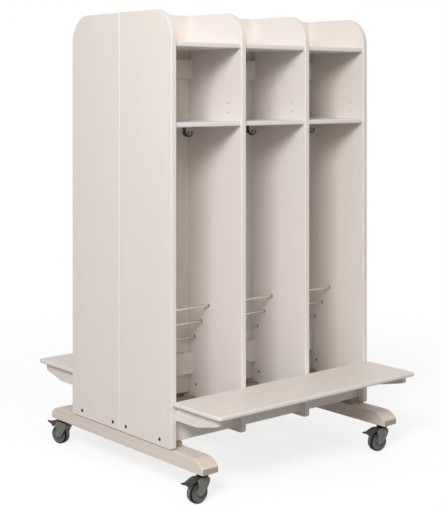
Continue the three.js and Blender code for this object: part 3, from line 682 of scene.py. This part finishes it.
def tyreShell(sides=72):
    # Half of the tread's section, from its seat in the core over a rounded shoulder to the flat crown.
    # The band is paler where the distance from the middle is small: share = (7.4 - |a|) / 1.4, kept
    # between 0 and 1
    radius = castor["wheel"]
    half = [(radius - 5.6, 12.4), (radius - 5.0, 13.6), (radius - 3.4, 13.7), (radius - 1.8, 12.7),
            (radius - 0.8, 11.2), (radius - 0.2, 9.4), (radius, 8.2), (radius, 7.4), (radius, 6.0),
            (radius, 3.0)]
    profile = [(r, -a) for r, a in half] + [(radius, 0)] + half[::-1]
    worn = np.clip((7.4 - np.abs([a for r, a in profile])) / 1.4, 0, 1)
    middle = (castor["trail"], 0, castor["axle"])
    return revolved(profile, sides, alongY, middle, loop=True), np.repeat(worn, sides)


def coreShell():
    # Half of the core's section, from its hub out to the seat of the tread, mirrored for the other face
    rim, w = castor["wheel"] - 5.2, castor["halfWheel"]
    side = [(4.6, w), (10.2, w), (10.9, w - 0.6), (11.4, w - 6.4), (12.6, w - 7.4), (24.6, w - 7.6),
            (27.8, w - 6.6), (29.6, w - 2.2), (30.8, w - 1.1), (rim, w - 1.1),
            (rim + 0.5, w - 2.2), (rim + 0.5, 8)]
    profile = [(r, -a) for r, a in side] + side[::-1]
    return revolved(profile, 72, alongY, (castor["trail"], 0, castor["axle"]))


def narrowed(shell, starts, widths):
    # The width across is scaled by a factor that follows the place along X: y' = y f(x)
    verts = shell[0].copy()
    verts[:, 1] *= np.interp(verts[:, 0] / millimetre, starts, widths)
    return (verts, *shell[1:])


def pedalShells():
    # The shoe lies round the tread when the brake is down, so at rest its arc is turned up by the swing
    c = castor
    pin = np.array([c["pinBack"], c["pinHeight"]])
    lift = math.radians(c["swing"])
    spin = np.array([(math.cos(lift), math.sin(lift)), (-math.sin(lift), math.cos(lift))])
    shoe = (aboutAxle(c["shoe"], c["shoeFrom"], c["shoeTo"], 12) - pin) @ spin + pin
    heel = (aboutAxle(c["heel"], c["heelAt"], c["heelAt"], 1) - pin) @ spin + pin
    root, tip = c["tip"]
    height, top, half = c["tipHeight"], c["pedalTop"], c["pedalWidth"] / 2
    back = c["pinBack"] - 5
    outline = [*[(x, z, 0.4) for x, z in shoe], (*heel[0], 2), (root, height - 10, 5),
               (tip, height - 4, 1.2), (tip, height, 1.2), (root, height, 10),
               (c["pinBack"] + 17, top, 12), (back, top, 2), (back, 78.2, 1)]
    shape = board(outline, -half, half, alongY, 1.2, 3)
    shells = [narrowed(shape, [back, 34, 60, root, tip], [1, 1, 0.62, 0.36, 0.34])]
    for step in range(4):
        x = root + 1.5 + step * 3.6
        ridge = [(x, height - 0.6, 0.4), (x + 1.5, height - 0.6, 0.4), (x + 1.5, height + 0.6, 0.6),
                 (x, height + 0.6, 0.6)]
        shells.append(board(ridge, -3.9, 3.9, alongY, 0.5, 2))
    return shells


def pedalPinShell():
    profile = [(2.4, -20.8), (2.9, -20.5), (2.9, 20.5), (2.4, 20.8)]
    return revolved(profile, 20, alongY, (castor["pinBack"], 0, castor["pinHeight"]))


def plateShells():
    length, width, thick = castor["plate"]
    top = castor["height"]
    x, y = length / 2, width / 2
    plate = board([(-x, -y, 5), (x, -y, 5), (x, y, 5), (-x, y, 5)], top - thick, top, alongZ, 0.6, 2)
    inset = castor["slotInset"]
    places = [(sideX * (x - inset), sideY * (y - inset), top - thick)
              for sideX in (-1, 1) for sideY in (-1, 1)]
    return [plate, *[screwShell(place, againstZ, 4.4, 2.2) for place in places]]


def raceShell():
    # The pin and the two cups of the ball race, with a groove between the cups
    r, low, foot = castor["race"], castor["raceFoot"], castor["pinFoot"]
    profile = [(5.6, foot), (6, foot + 0.4), (6, low + 0.2), (r - 3, low + 0.2), (r - 0.8, low + 1),
               (r, low + 2.6), (r, low + 5), (r - 1.4, low + 5.6), (r - 1.4, low + 6.6), (r, low + 7.2),
               (r, low + 10), (r - 0.8, low + 11.4), (r - 2, low + 12.2)]
    return revolved(profile, 40)


def placed(shells, heading, pin):
    return [turned(shell, heading, pin) for shell in shells]


tyre, tyreBand = tyreShell()
for word in ("front_left", "front_right", "rear_left", "rear_right"):
    pin = joints[f"{word}_swivel_turn"]["pos_m"][:2]
    axis = joints[f"{word}_wheel_roll"]["axis"]
    heading = math.atan2(-axis[0], axis[1])
    steered = (heading, pin)
    fixed = (math.pi / 2, pin)
    swivel, wheel, pedal = f"{word}_swivel", f"{word}_wheel", f"{word}_pedal"
    makePiece(f"{word}_castorPlate", placed(plateShells(), *fixed), zincSteel,
              nodes=[f"{word}_castor_plate"])
    # The race is steel, drawn near-black as painted shade under the beam
    makePiece(f"{word}_swivelRace", placed([raceShell()], *fixed), boltBlackAndRaceShade)
    makePiece(f"{word}_castorFork", placed(forkShells(), *steered), castorGrey, swivel,
              [f"{word}_castor_fork"])
    makePiece(f"{word}_axle", placed(axleShells(), *steered), axleSteel, swivel)
    makePiece(f"{word}_wheelCore", placed([coreShell()], *steered), coreGrey, wheel,
              [f"{word}_castor_wheel"])
    makePiece(f"{word}_tread", placed([tyre], *steered), treadBlack, wheel,
              band=tyreBand)
    makePiece(f"{word}_brakeLever", placed(pedalShells(), *steered), pedalGrey, pedal,
              [f"{word}_brake_pedal"])
    makePiece(f"{word}_pedalPin", placed([pedalPinShell()], *steered), axleSteel, pedal)
print("castors made")

# Floor, backdrop and light. The floor takes the shadow near the object and clears to white further out.
studio = {"floor": (0.32, 0.318, 0.316), "lift": 0.76, "world": 0.415, "sky": (1.0, 0.985, 0.975),
          "clearFrom": 0.9, "clearTo": 3.2}
lamps = {"keyLight": {"place": (-3.9, -3.05, 3.4), "target": (0, -0.2, 1.0), "size": (1.75, 1.5),
                      "power": 217.0, "colour": (1, 0.985, 0.97)},
         "frontLight": {"place": (-1.2, -4.6, 2.6), "target": (0, 0, 1.0), "size": (2.4, 2.0),
                        "power": 5.0, "colour": (1, 0.99, 0.985)},
         "fillLight": {"place": (4.5, -3.0, 2.4), "target": (0, 0, 0.8), "size": (3.0, 3.0),
                       "power": 8.0, "colour": (0.96, 0.98, 1)}}


def seenDirectly(nodes):
    # 1 for rays from the camera and in reflections or glass, and 0 for the light that falls on the object
    path = nodes.add("ShaderNodeLightPath").outputs
    first = {0: path["Is Camera Ray"], 1: path["Is Glossy Ray"]}
    second = {0: nodes.add("ShaderNodeMath", first, operation="MAXIMUM").outputs[0],
              1: path["Is Transmission Ray"]}
    return nodes.add("ShaderNodeMath", second, operation="MAXIMUM").outputs[0]


floorMesh = bpy.data.meshes.new("floor")
floorMesh.from_pydata([(-40, -40, 0), (40, -40, 0), (40, 40, 0), (-40, 40, 0)], [], [(0, 1, 2, 3)])
floor = bpy.data.objects.new("floor", floorMesh)
bpy.context.scene.collection.objects.link(floor)
floorFinish = Nodes("paleFloor")
floorFinish.set(Base_Color=(*studio["floor"], 1), Roughness=0.9, Specular_IOR_Level=0.1)
ground = floorFinish.add("ShaderNodeTexCoord").outputs["Object"]
away = floorFinish.add("ShaderNodeVectorMath", {0: ground}, operation="LENGTH").outputs["Value"]
seen = seenDirectly(floorFinish)
limits = {"Value": away, "From Min": studio["clearFrom"], "From Max": studio["clearTo"]}
clearing = floorFinish.add("ShaderNodeMapRange", limits, interpolation_type="SMOOTHSTEP")
share = floorFinish.add("ShaderNodeMath", {0: clearing.outputs[0], 1: seen}, operation="MULTIPLY")
lift = floorFinish.add("ShaderNodeMath", {0: seen, 1: studio["lift"]}, operation="MULTIPLY")
glow = floorFinish.add("ShaderNodeEmission", {"Strength": lift.outputs[0]})
lifted = floorFinish.add("ShaderNodeAddShader", {0: floorFinish.shader.outputs[0], 1: glow.outputs[0]})
white = floorFinish.add("ShaderNodeEmission", {"Strength": 1.0})
parts = {0: share.outputs[0], 1: lifted.outputs[0], 2: white.outputs[0]}
finished = floorFinish.add("ShaderNodeMixShader", parts)
floorFinish.tree.links.new(finished.outputs[0], floorFinish.tree.nodes["Material Output"].inputs[0])
floorMesh.materials.append(floorFinish.material)


class Backdrop(Nodes):
    def __init__(self, name):
        self.world = bpy.data.worlds.new(name)
        self.world.use_nodes = True
        self.tree = self.world.node_tree


backdrop = Backdrop("studio")
bpy.context.scene.world = backdrop.world
pale = {"Color": (*studio["sky"], 1), "Strength": studio["world"]}
plain = backdrop.add("ShaderNodeBackground", pale)
white = backdrop.add("ShaderNodeBackground", {"Color": (1, 1, 1, 1), "Strength": 1.0})
parts = {0: seenDirectly(backdrop), 1: plain.outputs[0], 2: white.outputs[0]}
sky = backdrop.add("ShaderNodeMixShader", parts)
backdrop.tree.links.new(sky.outputs[0], backdrop.tree.nodes["World Output"].inputs[0])


def softbox(name, look):
    lamp = bpy.data.lights.new(name, "AREA")
    lamp.shape = "RECTANGLE"
    lamp.size, lamp.size_y = look["size"]
    lamp.energy = look["power"]
    lamp.color = look["colour"]
    light = bpy.data.objects.new(name, lamp)
    light.location = look["place"]
    aim = Vector(look["target"]) - Vector(look["place"])
    light.rotation_euler = aim.to_track_quat("-Z", "Y").to_euler()
    bpy.context.scene.collection.objects.link(light)


for name, look in lamps.items():
    softbox(name, look)
bpy.context.scene.view_settings.view_transform = "Standard"

print("scene made")
